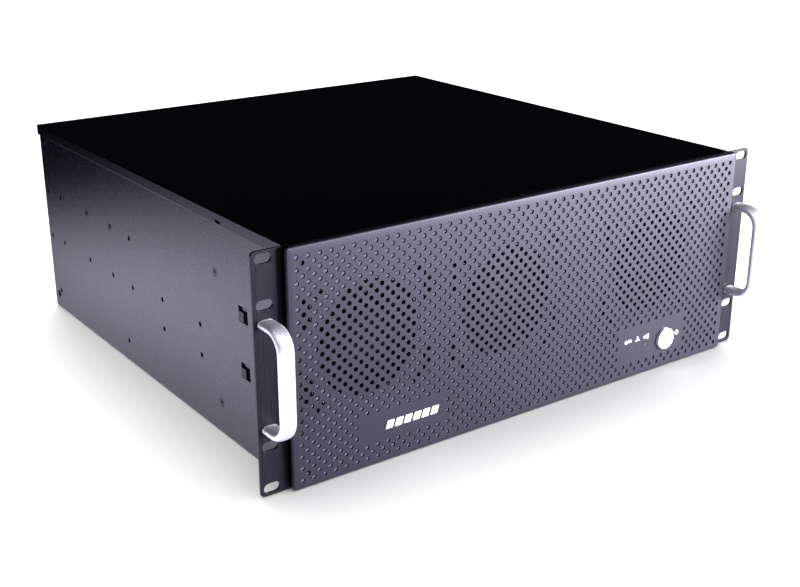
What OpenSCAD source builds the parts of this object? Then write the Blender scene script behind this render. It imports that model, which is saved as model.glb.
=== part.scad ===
// Rack-mount storage enclosure, four units high, as an assembly of separate pieces.
// Frame: X to the right seen from the front, Y to the rear, Z up, in millimetres.
// The origin is on the resting plane, at the middle of the overall width and depth.

/* [Case] */
// Depth from the front of the rack ears to the rear panel's outer face
case_depth = 440; // [430:1:520]
// Distance between the outer faces of the two side walls
case_w = 432; // [430:0.5:434]
// Height of the closed case
case_h = 177; // [176:0.5:177.5]
// Thickness of the folded case sheets
sheet_t = 1.2; // [1:0.1:1.5]
// Free gap between the sliding cover and what it slides over
cover_gap = 0.3; // [0.3:0.05:0.5]

/* [Rack ears] */
// Overall width over both ears
ear_span = 482.6; // [482:0.1:483]
// Height of the ears
ear_h = 176; // [175:0.5:177]
// Thickness of the ears
ear_t = 2; // [1.5:0.1:2.5]
// Horizontal distance between the two columns of rack slots
slot_column_pitch = 465.1; // [464:0.1:466]
// Length of a rack slot
slot_len = 12.5; // [10:0.5:12.5]
// Width of a rack slot
slot_w = 7; // [6.4:0.1:7.2]

/* [Handles] */
// Distance between the centres of a handle's two legs
handle_pitch = 76; // [64:1:88]
// Distance from the ear's front face to the middle of the grip
handle_reach = 25; // [24:1:40]
// Width of the handle bar, side to side
handle_w = 12; // [10:0.5:12]
// Thickness of the handle bar, front to back
handle_t = 6; // [5:0.5:8]

/* [Bezel] */
// Width of the bezel
bezel_w = 438.6; // [436:0.2:440]
// Height of the bezel
bezel_h = 176; // [175:0.2:176.4]
// Distance of the bezel's front face ahead of the ears
bezel_depth = 6; // [5:0.5:8]
// Pitch of the ventilation holes along a row; rows lie half a pitch apart
vent_pitch = 18; // [18:0.5:24]
// Diameter of the ventilation holes
vent_d = 6.8; // [5:0.1:7.5]

/* [Fans] */
// Width and height of a main fan's frame
fan_size = 92; // [90:1:92]
// Depth of a main fan's frame
fan_t = 25; // [25:0.5:26]
// Height of the fan centres above the resting plane
fan_z = 99; // [95:1:104]

/* [Controls] */
// Diameter of the power button's cap
power_button_d = 18.5; // [16:0.5:20]
// Travel of the power button
power_travel = 2; // [1:0.1:2]
// Diameter of the mute button's cap
mute_button_d = 3.6; // [3:0.1:3.8]

/* [Drives] */
// Distance from one drive to the next
drive_pitch = 32; // [30:0.5:33]

/* [Hidden] */
$fn = 48;
FINE = 96;

// Depth positions are counted from the front face of the ears, towards the rear.
thumb_head_l = 7;
thumb_x = 150;
thumb_z = 169.5;
rear_flange_t = 1;
rear_reach = cover_gap + rear_flange_t + thumb_head_l;
front_reach = handle_reach + handle_t / 2;
ear_y = front_reach - (front_reach + case_depth + rear_reach) / 2;

// Case
wall_x = case_w / 2;
wall_in = wall_x - sheet_t;
cover_t = 1;
cover_under = case_h - cover_t;
wall_top = cover_under - cover_gap;
flange_w = 12;
bend_r = 2;
lip_z = case_h - 9.3;
floor_z = sheet_t;
inner_gap = 0.1;
inner_x = wall_in - inner_gap;
inner_top = wall_top - sheet_t;

// Holes in each side wall: two rows for internal fittings, a rectangle for a slide rail bracket
row_y = [252, 292, 342, case_depth - 38, case_depth - 8];
row_z = [73, 116];
bracket_y = [130, 195];
bracket_z = [55, 80];
low_y = [269, case_depth - 16];
low_z = 20;
wall_hole_d = 4.2;
brace_hole_y = [292, 342];
brace_screw_d = 3.8;
hook_y = 61;
hook_z = [65.5, 109];
hook_w = 13;
hook_h = 12;
plate_screw_y = 101;
plate_screw_z = [26.7, 130];
plate_screw_d = 3.8;
rear_screw_y = case_depth - 8;
rear_screw_z = [14, 163];

// Ears and handles
ear_z0 = (case_h - ear_h) / 2;
ear_in_x = inner_x - ear_t;
ear_r = 3;
mid_z = case_h / 2;
slot_z = [mid_z - 82.55, mid_z - 50.8, mid_z + 50.8, mid_z + 82.55];
handle_x = slot_column_pitch / 2;
handle_z = mid_z;
handle_r = 14;
handle_screw_d = 4;
handle_bore_d = 4.2;

// Bezel
bezel_t = 1.5;
bezel_z0 = (case_h - bezel_h) / 2 + 0.2;
bezel_r = 2.5;
vent_top = 170;
vent_low = 7.5;
blank_z = 29.5;
badge_blank_x = -124;
badge_blank_w = 84;
badge_blank_h = 26;
control_blank_x = 131;
control_blank_w = 82;
control_blank_h = 28;

// Fan plate, close behind the bezel; its side flanges run back between the ears' return legs
plate_gap = 0.3;
plate_y = -bezel_depth + bezel_t + plate_gap;
plate_back = plate_y + sheet_t;
plate_flange_end = 112;
plate_x = ear_in_x - inner_gap;
plate_z0 = bezel_z0 + bezel_t + 0.2;
plate_top = inner_top - inner_gap;
fan_x = [-154, -30, 124];
fan_y = plate_back;
fan_cut_d = 86;
fan_hole_pitch = 82.5;
fan_screw_d = 4;
fan_screw_l = 12;
head_clear = 0.4;
sunk_l = sheet_t - 0.1;
sunk_d = 7.6;
shaft_d = 3;
shaft_bore_d = 3.06;
shaft_out = 4.6;
side_slot_x = 50;
side_slot_z = 28;
side_slot_l = 24;
side_slot_w = 7;
spacer_x = 206;
spacer_z = [14, 163];
stud_d = 3;
stud_hole_d = 3.2;
stud_out = 4.5;

// Controls
power_x = 147;
mute_x = 124;
led_x = [104, 114];
control_z = 26.4;
board_y = 6;
pcb_t = 1.6;
mute_travel = 0.8;
play = 0.3;
led_d = 1.9;
control_screw_x = [100, 164];
control_screw_z = [16, 40];
power_stem_l = 4.2;
mute_stem_l = 4.4;
flange_y = -bezel_depth + bezel_t + play;
power_flange_t = 1.5;
mute_flange_t = 1;

// Drives, each a node of its own
drive_n = 8;
drive_w = 26.1;
drive_h = 101.6;
drive_l = 147;
cage_y = 45;
cage_floor_z = 9;
drive_y = cage_y + sheet_t + 1;
drive_z = cage_floor_z + sheet_t + 0.3;
cage_x = drive_n * drive_pitch / 2 + 3;
backplane_y = drive_y + drive_l + 4;

// Main board and cards, at the rear
board_w = 170;
board_x0 = -128;
board_y0 = case_depth - 172;
board_z = floor_z + 6.5;
board_top = board_z + pcb_t;
io_x0 = -115;
io_w = 158.75;
io_h = 44.45;
io_z0 = board_z - 0.6;
slot_x0 = -124.5;
slot_pitch = 20.32;
slot_n = 4;
slot_win_w = 14;
slot_win_z0 = 14;
slot_win_h = 104;
shelf_z = 122;
memory_x = [0, 10];
net_port_x = [-20, -2];
data_port_x = [-46, -86];
socket_h = 6;
rear_in_y = case_depth - sheet_t;

// Power supply
psu_w = 150;
psu_h = 86;
psu_l = 140;
psu_x0 = 60;
psu_z0 = 4;
psu_t = 1;
psu_y0 = rear_in_y - psu_l;
psu_fan_x = psu_x0 + 52;
psu_mid_z = psu_z0 + psu_h / 2;
psu_fan_cut_d = 76;
inlet_x = psu_x0 + 118;
inlet_z = psu_z0 + 26;
rocker_x = psu_x0 + 118;
rocker_z = psu_z0 + 62;
rocker_rest = -8;
inlet_w = 27.2;
inlet_h = 19.2;
rocker_w = 12.8;
rocker_h = 18.8;
mouth_y = case_depth + 0.4;

// Leads inside the case, all lying in level planes
lead_z = board_top + 7;
lead_d = 9;
lead_r = 16;
psu_lead_x = [100, 130];
drive_lead_x = 60;
drive_lead_d = 7;
drive_lead_r = 12;
board_lead_x = 31;
data_lead_z = board_top + 5;
data_lead_d = 6;
data_lead_r = 12;
data_header_x = [-90, -68];
data_plug_x = [-cage_x + 11, -cage_x + 33];
plug_l = 9;

// ---------- helpers ----------

// Moves children so that depth is counted from the ears' front face
module behind_ears(y) {
  translate([0, ear_y + y, 0]) children();
}

// Extrudes an outline in (X, Z) over a depth t, starting y behind the ears
module upright(y, t) {
  behind_ears(y + t) rotate([90, 0, 0]) linear_extrude(t) children();
}

// Extrudes an outline in (Y, Z) over a width t, starting at x
module sideways(x, t) {
  translate([x, ear_y, 0]) rotate([90, 0, 90]) linear_extrude(t) children();
}

// A round rod along Y
module rod_y(x, z, y, l, d) {
  translate([x, ear_y + y, z]) rotate([-90, 0, 0]) cylinder(d = d, h = l);
}

// A round rod along X
module rod_x(x, y, z, l, d) {
  translate([x, ear_y + y, z]) rotate([0, 90, 0]) cylinder(d = d, h = l);
}

// A box given by its low corner, counted from the ears' front face, and its size
module block(x, y, z, size) {
  translate([x, ear_y + y, z]) cube(size);
}

module both_sides() {
  children();
  mirror([1, 0, 0]) children();
}

// A rectangle with round corners, from its low corner
module round_rect(x, y, w, h, r) {
  translate([x + r, y]) square([w - 2 * r, h]);
  translate([x, y + r]) square([w, h - 2 * r]);
  for (cx = [x + r, x + w - r])
    for (cy = [y + r, y + h - r])
      translate([cx, cy]) circle(r = r);
}

// A slot with round ends, centred, along the first axis
module slot(l, w) {
  square([l - w, w], center = true);
  for (s = [-1, 1])
    translate([s * (l - w) / 2, 0]) circle(d = w);
}

// A pan-head screw along Y: its head starts at y and its shank follows
module screw_y(x, z, y, head_d, head_l, d, l) {
  difference() {
    rod_y(x, z, y, head_l, head_d);
    translate([x, ear_y + y, z]) cube([head_d * 0.6, head_l, head_d * 0.12], center = true);
    translate([x, ear_y + y, z]) cube([head_d * 0.12, head_l, head_d * 0.6], center = true);
  }
  rod_y(x, z, y + head_l, l, d);
}

// Turns a screw along Y end for end, about the plane y behind the ears
module turned(y) {
  translate([0, 2 * (ear_y + y), 0]) mirror([0, 1, 0]) children();
}

// A pan-head screw along -X on the right wall: the head stands outside x
module screw_x(x, y, z, head_d, head_l, d, l) {
  difference() {
    rod_x(x, y, z, head_l, head_d);
    translate([x + head_l, ear_y + y, z]) cube([head_l, head_d * 0.6, head_d * 0.12], center = true);
    translate([x + head_l, ear_y + y, z]) cube([head_l, head_d * 0.12, head_d * 0.6], center = true);
  }
  rod_x(x - l, y, z, l, d);
}

// A quarter bend of round cable in the plane z = 0, around the origin
module bend(r, d) {
  rotate_extrude(angle = 90) translate([r, 0]) circle(d = d);
}

// ---------- case ----------

module wall_hole_outline() {
  for (y = row_y)
    for (z = row_z)
      translate([y, z]) circle(d = wall_hole_d);
  for (y = bracket_y)
    for (z = bracket_z)
      translate([y, z]) circle(d = wall_hole_d);
  for (y = low_y)
    translate([y, low_z]) circle(d = wall_hole_d);
  for (z = rear_screw_z)
    translate([rear_screw_y, z]) circle(d = 3.2);
  for (z = plate_screw_z)
    translate([plate_screw_y, z]) circle(d = wall_hole_d);
  for (z = hook_z)
    translate([hook_y - hook_w / 2, z - hook_h / 2]) square([hook_w, hook_h]);
}

// The outline of a plate that fills the case from side to side
module inner_outline() {
  round_rect(-inner_x, floor_z + inner_gap, 2 * inner_x, inner_top - floor_z - 2 * inner_gap, 1);
}

module chassis_base() {
  color([0.12, 0.12, 0.14])
  difference() {
    upright(ear_t, case_depth - ear_t)
      difference() {
        round_rect(-wall_x, 0, case_w, wall_top, bend_r);
        round_rect(-wall_in, sheet_t, 2 * wall_in, wall_top - 2 * sheet_t, bend_r - sheet_t);
        translate([-wall_in + flange_w, wall_top - 5]) square([2 * (wall_in - flange_w), 10]);
      }
    sideways(-wall_x - 1, case_w + 2) wall_hole_outline();
    both_sides()
      for (z = plate_screw_z)
        translate([wall_x, ear_y + plate_screw_y, z]) rotate([0, -90, 0])
          sunk_head(sunk_d + head_clear, wall_hole_d);
  }
}

module rear_vents() {
  vent_n = 44;
  vent_step = 9;
  vent_z = 143;
  for (i = [0 : vent_n - 1])
    translate([(i - (vent_n - 1) / 2) * vent_step, vent_z]) rotate(90) slot(26, 4.5);
}

module rear_panel() {
  flange_l = 14;
  color([0.16, 0.16, 0.18]) {
    difference() {
      union() {
        upright(rear_in_y, sheet_t)
          inner_outline();
        both_sides()
          block(inner_x - sheet_t, rear_in_y - flange_l, 4, [sheet_t, flange_l, inner_top - 6]);
      }
      upright(rear_in_y - 1, sheet_t + 2) {
        translate([psu_x0 + 12, psu_z0 + 4]) square([psu_w - 24, psu_h - 8]);
        translate([io_x0, io_z0]) square([io_w, io_h]);
        for (i = [0 : slot_n - 1])
          translate([slot_x0 - i * slot_pitch - slot_win_w / 2, slot_win_z0])
            square([slot_win_w, slot_win_h]);
        rear_vents();
      }
      for (x = [-thumb_x, thumb_x])
        rod_y(x, thumb_z, rear_in_y - 1, sheet_t + 2, 4.1);
      for (p = psu_screw_places())
        rod_y(p[0], p[1], rear_in_y - 1, sheet_t + 2, 3.8);
      both_sides()
        for (z = rear_screw_z)
          rod_x(inner_x - 3, rear_screw_y, z, 4, 3.2);
    }
    // Shelf that the slot covers' tabs are screwed down on
    difference() {
      block(slot_x0 - 3.7 * slot_pitch, rear_in_y - 12, shelf_z, [4.4 * slot_pitch, 12, sheet_t]);
      for (i = [0 : slot_n - 1]) {
        translate([slot_x0 - i * slot_pitch, ear_y + rear_in_y - 6, shelf_z - 1]) cylinder(d = 3.2, h = 4);
        block(slot_x0 - i * slot_pitch - 9.2, rear_in_y - 1.1, shelf_z - 1, [18.4, 1.1, 4]);
      }
    }
  }
}

module fan_plate() {
  top_flange_l = 12;
  top_flange_w = 400;
  side_inset = 4;
  color([0.1, 0.1, 0.11])
  difference() {
    union() {
      upright(plate_y, sheet_t)
        round_rect(-plate_x, plate_z0, 2 * plate_x, plate_top - plate_z0, 1);
      block(-top_flange_w / 2, plate_y, plate_top - sheet_t, [top_flange_w, top_flange_l, sheet_t]);
      both_sides()
        block(plate_x - sheet_t, plate_y, side_inset,
          [sheet_t, plate_flange_end - plate_y, plate_top - 2 * side_inset]);
    }
    upright(plate_y - 1, sheet_t + 2) {
      for (x = fan_x) {
        translate([x, fan_z]) circle(d = fan_cut_d, $fn = FINE);
        for (sx = [-1, 1])
          for (sz = [-1, 1]) {
            translate([x + sx * fan_hole_pitch / 2, fan_z + sz * fan_hole_pitch / 2])
              circle(d = fan_screw_d + play);
            translate([x + sx * side_slot_x, fan_z + sz * side_slot_z]) rotate(90)
              slot(side_slot_l, side_slot_w);
          }
      }
      // Openings for the buttons and the lights, and for the control board's standoffs
      translate([power_x, control_z]) circle(d = power_button_d + 5);
      translate([mute_x, control_z]) circle(d = mute_button_d + 4);
      for (x = led_x)
        translate([x, control_z]) circle(d = led_d + 1);
      for (x = control_screw_x)
        for (z = control_screw_z)
          translate([x, z]) circle(d = stud_hole_d);
      for (x = [-spacer_x, spacer_x])
        for (z = spacer_z)
          translate([x, z]) circle(d = stud_hole_d);
    }
    fan_screw_places()
      sunk_head(sunk_d + head_clear, fan_screw_d + play);
    both_sides()
      for (z = plate_screw_z)
        rod_x(plate_x - 3, plate_screw_y, z, 4, plate_screw_d + 0.1);
  }
}

// Puts children at every fan screw, on the plate's front face, with their +Z to the rear
module fan_screw_places() {
  for (x = fan_x)
    for (sx = [-1, 1])
      for (sz = [-1, 1])
        translate([x + sx * fan_hole_pitch / 2, ear_y + plate_y, fan_z + sz * fan_hole_pitch / 2])
          rotate([-90, 0, 0]) children();
}

// The taper of a sunk screw head, or of the hole for it
module sunk_head(d_out, d_in) {
  cylinder(d1 = d_out, d2 = d_in, h = sunk_l);
}

// Fixed strip ahead of the cover, with a tongue that the cover's front edge slides over
module front_top_strip() {
  strip_y = 1.4;
  strip_l = 24.6;
  tongue_l = 16;
  front_x = ear_in_x - play;
  color([0.06, 0.06, 0.07]) {
    upright(ear_t, strip_y + strip_l - ear_t)
      difference() {
        round_rect(-wall_x - 1.3, lip_z, case_w + 2.6, case_h - lip_z, 1);
        translate([-wall_x, lip_z - 5]) square([case_w, wall_top - lip_z + 5]);
      }
    block(-front_x, strip_y, wall_top, [2 * front_x, 3, case_h - wall_top]);
    block(-wall_in + flange_w + 1, strip_y + strip_l - 4, inner_top + inner_gap,
      [2 * (wall_in - flange_w - 1), tongue_l, sheet_t - inner_gap]);
  }
}

module top_cover() {
  cover_y = 26.3;
  lip_x = wall_x + cover_gap;
  rear_flange_y = case_depth + cover_gap;
  rear_flange_w = 420;
  rear_flange_z = 162;
  lip_slot_y = [90, 373];
  color([0.05, 0.05, 0.06])
  difference() {
    union() {
      upright(cover_y, rear_flange_y + rear_flange_t - cover_y)
        difference() {
          round_rect(-lip_x - cover_t, lip_z, 2 * (lip_x + cover_t), case_h - lip_z, 1);
          translate([-lip_x, lip_z - 5]) square([2 * lip_x, cover_under - lip_z + 5]);
        }
      block(-rear_flange_w / 2, rear_flange_y, rear_flange_z,
        [rear_flange_w, rear_flange_t, cover_under - rear_flange_z + 0.5]);
    }
    for (y = lip_slot_y)
      sideways(-lip_x - 5, 2 * lip_x + 10) translate([y, lip_z + 2.6]) slot(8, 2.4);
    for (x = [-thumb_x, thumb_x])
      rod_y(x, thumb_z, rear_flange_y - 1, 4, 4.3);
  }
}

module cover_thumbscrews() {
  head_d = 10;
  groove_step = 15;
  shank_in = 5;
  color([0.75, 0.75, 0.77])
  for (x = [-thumb_x, thumb_x]) {
    difference() {
      rod_y(x, thumb_z, case_depth + cover_gap + rear_flange_t, thumb_head_l, head_d);
      for (a = [0 : groove_step : 359])
        translate([x, ear_y + case_depth + 3, thumb_z]) rotate([0, a, 0])
          translate([head_d / 2 + 0.3, 0, 0]) rotate([-90, 0, 0]) cylinder(d = 1, h = 10, $fn = 4);
    }
    rod_y(x, thumb_z, case_depth - shank_in, shank_in + cover_gap + rear_flange_t, 3.9);
  }
}

// ---------- ears, handles ----------

module ear() {
  ear_x = ear_span / 2;
  leg_inset = 8;
  tab_w = 6.5;
  tab_h = 7.5;
  tab_root = 0.5;
  color([0.09, 0.09, 0.1]) {
    difference() {
      upright(0, ear_t) {
        translate([ear_in_x, ear_z0]) square([ear_x - ear_r - ear_in_x, ear_h]);
        translate([ear_in_x, ear_z0 + ear_r]) square([ear_x - ear_in_x, ear_h - 2 * ear_r]);
        for (z = [ear_z0 + ear_r, ear_z0 + ear_h - ear_r])
          translate([ear_x - ear_r, z]) circle(r = ear_r);
      }
      upright(-1, ear_t + 2) {
        for (z = slot_z)
          translate([slot_column_pitch / 2, z]) slot(slot_len, slot_w);
        for (s = [-1, 1])
          translate([handle_x, handle_z + s * handle_pitch / 2]) circle(d = handle_screw_d + 0.4);
      }
    }
    // Return leg inside the side wall, cut away above and ahead of each tab
    difference() {
      block(ear_in_x, ear_t / 2, ear_z0 + leg_inset,
        [ear_t, plate_flange_end - ear_t / 2, ear_h - 2 * leg_inset]);
      for (z = hook_z) {
        block(ear_in_x - 1, hook_y - hook_w / 2, z - hook_h / 2, [ear_t + 2, hook_w - play - tab_w, hook_h]);
        block(ear_in_x - 1, hook_y - hook_w / 2, z - hook_h / 2 + play + tab_h,
          [ear_t + 2, hook_w, hook_h - play - tab_h]);
      }
      for (z = plate_screw_z)
        rod_x(ear_in_x - 1, plate_screw_y, z, ear_t + 2, plate_screw_d + 0.1);
    }
    // Tabs pushed out into the wall's hook windows
    for (z = hook_z)
      block(inner_x - tab_root, hook_y + hook_w / 2 - play - tab_w, z - hook_h / 2 + play,
        [sheet_t + inner_gap + tab_root, tab_w, tab_h]);
  }
}

module ear_left() { mirror([1, 0, 0]) ear(); }
module ear_right() { ear(); }

// The bar's section, long along the first axis
module handle_section() {
  slot(handle_w, handle_t);
}

module handle() {
  leg_l = handle_reach - handle_r;
  grip_l = handle_pitch - 2 * handle_r;
  color([0.85, 0.85, 0.87])
  difference() {
    union() {
      for (s = [-1, 1])
        translate([handle_x, ear_y, handle_z + s * handle_pitch / 2]) rotate([90, 0, 0])
          linear_extrude(leg_l) handle_section();
      translate([handle_x, ear_y - handle_reach, handle_z - grip_l / 2])
        linear_extrude(grip_l) handle_section();
      for (s = [-1, 1])
        translate([handle_x, ear_y - leg_l, handle_z + s * grip_l / 2])
          mirror([0, 0, s < 0 ? 1 : 0]) rotate([90, 0, -90])
            rotate_extrude(angle = 90) translate([handle_r, 0]) rotate(90) handle_section();
    }
    for (s = [-1, 1])
      rod_y(handle_x, handle_z + s * handle_pitch / 2, -leg_l - 1, leg_l + 2, handle_bore_d);
  }
}

module handle_left() { mirror([1, 0, 0]) handle(); }
module handle_right() { handle(); }

module handle_screws() {
  head_d = 8;
  head_l = 2.4;
  grip_l = 9;
  color([0.3, 0.3, 0.32])
  both_sides()
    for (s = [-1, 1])
      turned(0)
        screw_y(handle_x, handle_z + s * handle_pitch / 2, -ear_t - head_l, head_d, head_l,
          handle_screw_d, ear_t + grip_l);
}

// ---------- bezel and controls ----------

// No ventilation holes round the badge, or round the buttons and lights
function is_blank(x, z) =
  (abs(x - badge_blank_x) < badge_blank_w / 2 && abs(z - blank_z) < badge_blank_h / 2)
  || (abs(x - control_blank_x) < control_blank_w / 2 && abs(z - blank_z) < control_blank_h / 2);

module vent_holes() {
  rows = floor((vent_top - vent_low) / (vent_pitch / 2));
  half_n = floor((bezel_w / 2 - 8) / vent_pitch);
  for (k = [0 : rows])
    for (i = [-half_n - 1 : half_n + 1]) {
      x = (i + (k % 2 == 0 ? 0.5 : 0)) * vent_pitch;
      z = vent_low + k * vent_pitch / 2;
      if (abs(x) < bezel_w / 2 - 8 && !is_blank(x, z))
        translate([x, z]) circle(d = vent_d);
    }
}

module bezel() {
  back = -bezel_depth + bezel_t;
  hw = bezel_w / 2;
  color([0.2, 0.19, 0.23]) {
    // Front sheet with its holes
    upright(-bezel_depth, bezel_t)
      difference() {
        translate([-hw + bezel_r, bezel_z0 + bezel_r]) square([bezel_w - 2 * bezel_r, bezel_h - 2 * bezel_r]);
        vent_holes();
        translate([power_x, control_z]) circle(d = power_button_d + 2 * play);
        translate([mute_x, control_z]) circle(d = mute_button_d + 2 * play);
        for (x = led_x)
          translate([x, control_z]) circle(d = led_d + 0.2);
      }
    // Rim folded back all round, with a rounded front edge
    difference() {
      intersection() {
        sideways(-hw, bezel_w) rim_profile(bezel_z0, bezel_h);
        translate([0, ear_y, -5]) linear_extrude(case_h + 10)
          rotate(90) mirror([0, 1]) rim_profile(-hw, bezel_w);
      }
      block(-hw + bezel_t, back, bezel_z0 + bezel_t,
        [bezel_w - 2 * bezel_t, bezel_depth + 5, bezel_h - 2 * bezel_t]);
      block(-hw + bezel_r, -bezel_depth - 1, bezel_z0 + bezel_r,
        [bezel_w - 2 * bezel_r, bezel_depth + 5, bezel_h - 2 * bezel_r]);
    }
  }
}

// Outline of the bezel's section in (depth, across), with round front corners
module rim_profile(low, size) {
  translate([-bezel_depth, low + bezel_r]) square([bezel_depth, size - 2 * bezel_r]);
  translate([-bezel_depth + bezel_r, low]) square([bezel_depth - bezel_r, size]);
  for (c = [low + bezel_r, low + size - bezel_r])
    translate([-bezel_depth + bezel_r, c]) circle(r = bezel_r);
}

// Studs pressed into the bezel, with a shoulder that holds the fan plate off it
module bezel_spacers() {
  color([0.8, 0.65, 0.3])
  for (x = [-spacer_x, spacer_x])
    for (z = spacer_z) {
      rod_y(x, z, -bezel_depth + bezel_t, plate_gap, 6.5);
      rod_y(x, z, plate_y, sheet_t + stud_out, stud_d);
    }
}

module bezel_nuts() {
  nut_h = 2.4;
  color([0.7, 0.7, 0.72])
  for (x = [-spacer_x, spacer_x])
    for (z = spacer_z)
      difference() {
        translate([x, ear_y + plate_back, z]) rotate([-90, 0, 0])
          cylinder(d = 6.2, h = nut_h, $fn = 6);
        rod_y(x, z, plate_back - 1, nut_h + 2, stud_d + 0.04);
      }
}

// A plain badge: a row of leaning bars, in place of any name
module front_badge() {
  bars = 6;
  bar_l = 6;
  bar_h = 6;
  lean = 2;
  badge_x = -118;
  badge_z = 29;
  bar_pitch = 8;
  color([0.95, 0.95, 0.95])
  for (i = [-(bars - 1) / 2 : (bars - 1) / 2])
    upright(-bezel_depth - 0.6, 0.6)
      translate([badge_x + i * bar_pitch, badge_z])
        polygon([
          [-bar_l / 2 - lean / 2, -bar_h / 2], [bar_l / 2 - lean / 2, -bar_h / 2],
          [bar_l / 2 + lean / 2, bar_h / 2], [-bar_l / 2 + lean / 2, bar_h / 2]
        ]);
}

module power_button() {
  cap_front = -bezel_depth - 2.5;
  color([0.93, 0.93, 0.95]) {
    rod_y(power_x, control_z, cap_front + 0.8, flange_y - cap_front - 0.8, power_button_d, $fn = FINE);
    translate([power_x, ear_y + cap_front, control_z]) rotate([-90, 0, 0])
      cylinder(d1 = power_button_d - 1.6, d2 = power_button_d, h = 0.8, $fn = FINE);
    rod_y(power_x, control_z, flange_y, power_flange_t, power_button_d + 3);
    rod_y(power_x, control_z, flange_y + power_flange_t, power_stem_l, 6);
  }
}

module power_switch() {
  size = 14;
  bore_end = flange_y + power_flange_t + power_stem_l + power_travel + 0.9;
  color([0.15, 0.15, 0.15])
  difference() {
    block(power_x - size / 2, 0, control_z - size / 2, [size, board_y, size]);
    rod_y(power_x, control_z, -1, bore_end + 1, 6.1);
  }
}

module mute_button() {
  color([0.2, 0.2, 0.22]) {
    rod_y(mute_x, control_z, -bezel_depth, flange_y + bezel_depth, mute_button_d);
    rod_y(mute_x, control_z, flange_y, mute_flange_t, mute_button_d + 2);
    rod_y(mute_x, control_z, flange_y + mute_flange_t, mute_stem_l, 2.4);
  }
}

module mute_switch() {
  size = 6;
  bore_end = flange_y + mute_flange_t + mute_stem_l + mute_travel + 0.9;
  color([0.15, 0.15, 0.15])
  difference() {
    block(mute_x - size / 2, 0, control_z - size / 2, [size, board_y, size]);
    rod_y(mute_x, control_z, -1, bore_end + 1, 2.5);
  }
}

module led_lenses() {
  color([0.8, 0.9, 1])
  for (x = led_x)
    rod_y(x, control_z, -bezel_depth - 0.1, board_y + bezel_depth + 0.1, led_d);
}

module control_board() {
  edge_x = 6;
  edge_z = 5;
  color([0.05, 0.3, 0.12])
  difference() {
    upright(board_y, pcb_t)
      round_rect(control_screw_x[0] - edge_x, control_screw_z[0] - edge_z,
        control_screw_x[1] - control_screw_x[0] + 2 * edge_x,
        control_screw_z[1] - control_screw_z[0] + 2 * edge_z, 2);
    for (x = control_screw_x)
      for (z = control_screw_z)
        rod_y(x, z, board_y - 1, pcb_t + 2, stud_hole_d);
  }
}

// Standoffs between the fan plate and the board, with a stud through each and a head behind the board
module control_standoffs() {
  head_l = 1.6;
  color([0.8, 0.65, 0.3])
  for (x = control_screw_x)
    for (z = control_screw_z) {
      translate([x, ear_y + plate_back, z]) rotate([-90, 0, 0])
        cylinder(d = 5.5, h = board_y - plate_back, $fn = 6);
      rod_y(x, z, plate_y, sheet_t, stud_d);
      rod_y(x, z, board_y, pcb_t, stud_d);
      rod_y(x, z, board_y + pcb_t, head_l, 5);
    }
}

// ---------- fans ----------

module fan_frame(x) {
  flange_l = 4;
  bore = fan_size - 4;
  hub_y = fan_y + 20.6;
  spoke_t = 3;
  spoke_w = 3.2;
  spoke_inset = 0.5;
  color([0.08, 0.08, 0.08]) {
    difference() {
      union() {
        for (y = [fan_y, fan_y + fan_t - flange_l])
          upright(y, flange_l) round_rect(x - fan_size / 2, fan_z - fan_size / 2, fan_size, fan_size, 4);
        rod_y(x, fan_z, fan_y, fan_t, fan_size - 0.6, $fn = FINE);
      }
      rod_y(x, fan_z, fan_y - 1, fan_t + 2, bore, $fn = FINE);
      for (sx = [-1, 1])
        for (sz = [-1, 1])
          rod_y(x + sx * fan_hole_pitch / 2, fan_z + sz * fan_hole_pitch / 2, fan_y - 1, fan_t + 2,
            fan_screw_d + play);
    }
    difference() {
      union() {
        rod_y(x, fan_z, hub_y, fan_y + fan_t - hub_y, 34);
        for (a = [35, 125, 215, 305])
          translate([x, ear_y + fan_y + fan_t - spoke_t - spoke_inset, fan_z]) rotate([0, a, 0])
            translate([15, 0, -spoke_w / 2]) cube([bore / 2 - 14, spoke_t, spoke_w]);
      }
      rod_y(x, fan_z, hub_y - 1, 10, shaft_bore_d);
    }
  }
}

// One blade: a slice of a thin tube whose axis is radial, cut to the fan's ring
module fan_blade(r_in, r_out, depth, bow) {
  intersection() {
    difference() {
      rotate([90, 0, 0]) cylinder(r = r_out, h = depth, center = true, $fn = FINE);
      rotate([90, 0, 0]) cylinder(r = r_in, h = depth + 2, center = true);
    }
    rotate([32, 0, 0]) translate([0, 0, -bow])
      difference() {
        rotate([0, 90, 0]) cylinder(r = bow + 0.7, h = r_out + 5, $fn = FINE);
        translate([-1, 0, 0]) rotate([0, 90, 0]) cylinder(r = bow - 0.7, h = r_out + 8, $fn = FINE);
        translate([-5, -bow - 5, -bow - 5]) cube([r_out + 20, 2 * bow + 10, bow + 5]);
      }
  }
}

module rotor(x, y, z, r_out, hub_r, depth, bow) {
  blades = 7;
  translate([x, ear_y + y, z]) {
    rotate([-90, 0, 0]) cylinder(r = hub_r, h = depth);
    rotate([-90, 0, 0]) cylinder(d = shaft_d, h = depth + shaft_out);
    for (i = [0 : blades - 1])
      translate([0, depth / 2, 0]) rotate([0, i * 360 / blades, 0])
        fan_blade(hub_r - 0.5, r_out, depth - 2, bow);
  }
}

module main_rotor(i) {
  color([0.12, 0.12, 0.12]) rotor(fan_x[i], fan_y + 2, fan_z, fan_size / 2 - 3.2, 17, 18, 26);
}

module fan_frame_1() { fan_frame(fan_x[0]); }
module fan_frame_2() { fan_frame(fan_x[1]); }
module fan_frame_3() { fan_frame(fan_x[2]); }
module fan_rotor_1() { main_rotor(0); }
module fan_rotor_2() { main_rotor(1); }
module fan_rotor_3() { main_rotor(2); }

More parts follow.
